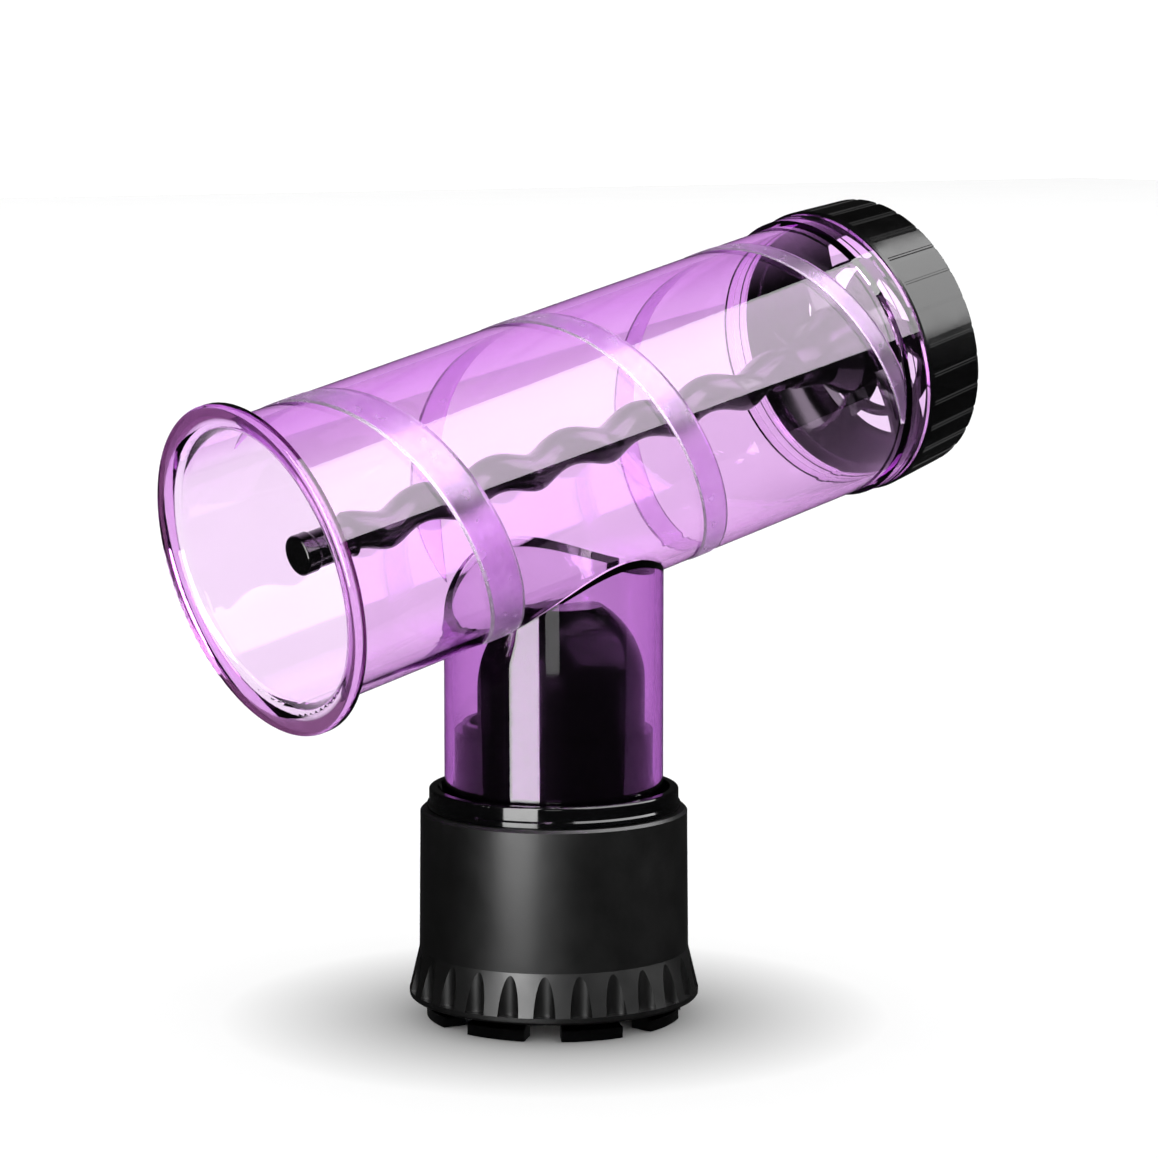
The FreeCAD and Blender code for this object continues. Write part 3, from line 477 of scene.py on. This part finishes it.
def studio_world():
    """A white room to a straight look, a darker one in front to reflections, and a soft low light."""
    world = bpy.data.worlds.new("studio")
    bpy.context.scene.world = world
    world.use_nodes = True
    tree = world.node_tree
    back = tree.nodes["Background"]

    def math_node(operation, *inputs):
        node = tree.nodes.new("ShaderNodeMath")
        node.operation = operation
        for number, source in enumerate(inputs):
            if isinstance(source, (int, float)):
                node.inputs[number].default_value = source
            else:
                tree.links.new(source, node.inputs[number])
        return node.outputs["Value"]

    way = tree.nodes.new("ShaderNodeTexCoord").outputs["Generated"]
    path = tree.nodes.new("ShaderNodeLightPath")
    parts = tree.nodes.new("ShaderNodeSeparateXYZ")
    tree.links.new(way, parts.inputs["Vector"])
    facing = tree.nodes.new("ShaderNodeVectorMath")
    facing.operation = "DOT_PRODUCT"
    facing.inputs[1].default_value = LOOK
    tree.links.new(way, facing.inputs[0])
    behind = tree.nodes.new("ShaderNodeMapRange")
    behind.interpolation_type = "SMOOTHSTEP"
    behind.inputs["From Min"].default_value = BEHIND_FROM
    behind.inputs["From Max"].default_value = BEHIND_TO
    behind.inputs["To Min"].default_value = MIRRORED
    behind.inputs["To Max"].default_value = SEEN
    tree.links.new(facing.outputs["Value"], behind.inputs["Value"])
    straight = math_node("MULTIPLY", math_node("LESS_THAN", path.outputs["Glossy Depth"], 0.5), SEEN)
    either = math_node("MAXIMUM", straight, behind.outputs["Result"])
    through = math_node("MULTIPLY", path.outputs["Is Transmission Ray"], either)
    direct = math_node("MULTIPLY", path.outputs["Is Camera Ray"], SEEN)
    height = math_node("MAXIMUM", parts.outputs["Z"], 0.0)
    low_share = math_node("POWER", math_node("SUBTRACT", 1.0, height), 2.0)
    low_light = math_node("MULTIPLY", low_share, SKY)
    matt = math_node("MULTIPLY", path.outputs["Is Diffuse Ray"], low_light)
    strongest = math_node("MAXIMUM", math_node("MAXIMUM", through, direct), matt)
    tree.links.new(math_node("MAXIMUM", strongest, MIRRORED), back.inputs["Strength"])
    back.inputs["Color"].default_value = (1, 1, 1, 1)


def soft_lamp(name, target, direction, distance, wide, high, brightness, roll=None):
    """A rectangular soft lamp that faces the target, for reflections only: matt surfaces ignore it."""
    light = bpy.data.lights.new(name, "AREA")
    light.shape = "RECTANGLE"
    light.size = wide
    light.size_y = high
    light.energy = brightness * math.pi * wide * high
    lamp = bpy.data.objects.new(name, light)
    bpy.context.scene.collection.objects.link(lamp)
    direction = Vector(direction).normalized()
    across = Vector(roll) if roll is not None else Vector((0, 0, 1)).cross(direction)
    across = (across - direction * across.dot(direction)).normalized()
    rise = direction.cross(across)
    turn = Matrix((across, rise, direction)).transposed().to_4x4()
    lamp.matrix_world = Matrix.Translation(Vector(target) + direction * distance) @ turn
    lamp.visible_camera = False
    lamp.visible_diffuse = False


def studio_lamps():
    middle = (CAD_LOW + CAD_HIGH) / 2
    # The broad softbox whose reflection lies along the barrel
    soft_lamp(
        "barrel_softbox", middle, direction=(0.415, -0.47, 0.62), distance=1.0,
        wide=1.5, high=1.04, brightness=5.9, roll=AXIS,
    )
    # The upright strip whose reflection stands on the neck
    neck = Vector((0, 0, 200 * MM))
    soft_lamp(
        "neck_strip", neck, direction=(-0.93, -0.42, 0), distance=0.24,
        wide=0.13, high=0.39, brightness=11.0,
    )
    # The dim soft lamp behind the camera, whose spread-out reflection lies on the satin sleeve
    sleeve = Vector((0, 0, 30 * MM))
    soft_lamp(
        "front_glow", sleeve, direction=(-0.6, -0.8, 0.1), distance=1.2,
        wide=0.3, high=0.5, brightness=2.2,
    )


FOCAL = 120.8
CAMERA_AZIMUTH = math.radians(36.93)
CAMERA_ELEVATION = math.radians(7.19)
CAMERA_DISTANCE = 872.7 * MM
CAMERA_AIM_RIGHT = 5.7 * MM
CAMERA_AIM_UP = 99.3 * MM


def photo_camera():
    data = bpy.data.cameras.new("camera")
    data.lens = FOCAL
    data.sensor_width = 36
    data.clip_start = 0.01
    camera = bpy.data.objects.new("camera", data)
    bpy.context.scene.collection.objects.link(camera)
    flat = math.cos(CAMERA_ELEVATION)
    back = Vector((
        -math.sin(CAMERA_AZIMUTH) * flat,
        -math.cos(CAMERA_AZIMUTH) * flat,
        math.sin(CAMERA_ELEVATION),
    ))
    right = Vector((math.cos(CAMERA_AZIMUTH), -math.sin(CAMERA_AZIMUTH), 0))
    rise = back.cross(right)
    aim = Vector((0, 0, CAMERA_AIM_UP)) + right * CAMERA_AIM_RIGHT
    turn = Matrix((right, rise, back)).transposed().to_4x4()
    camera.matrix_world = Matrix.Translation(aim + back * CAMERA_DISTANCE) @ turn
    bpy.context.scene.camera = camera


def render_settings():
    scene = bpy.context.scene
    scene.view_settings.view_transform = "Standard"
    scene.cycles.max_bounces = 24
    scene.cycles.transmission_bounces = 20
    scene.cycles.transparent_max_bounces = 24
    scene.cycles.caustics_reflective = False


finish_nodes()
spiral_band()
pale_floor()
studio_world()
studio_lamps()
photo_camera()
render_settings()
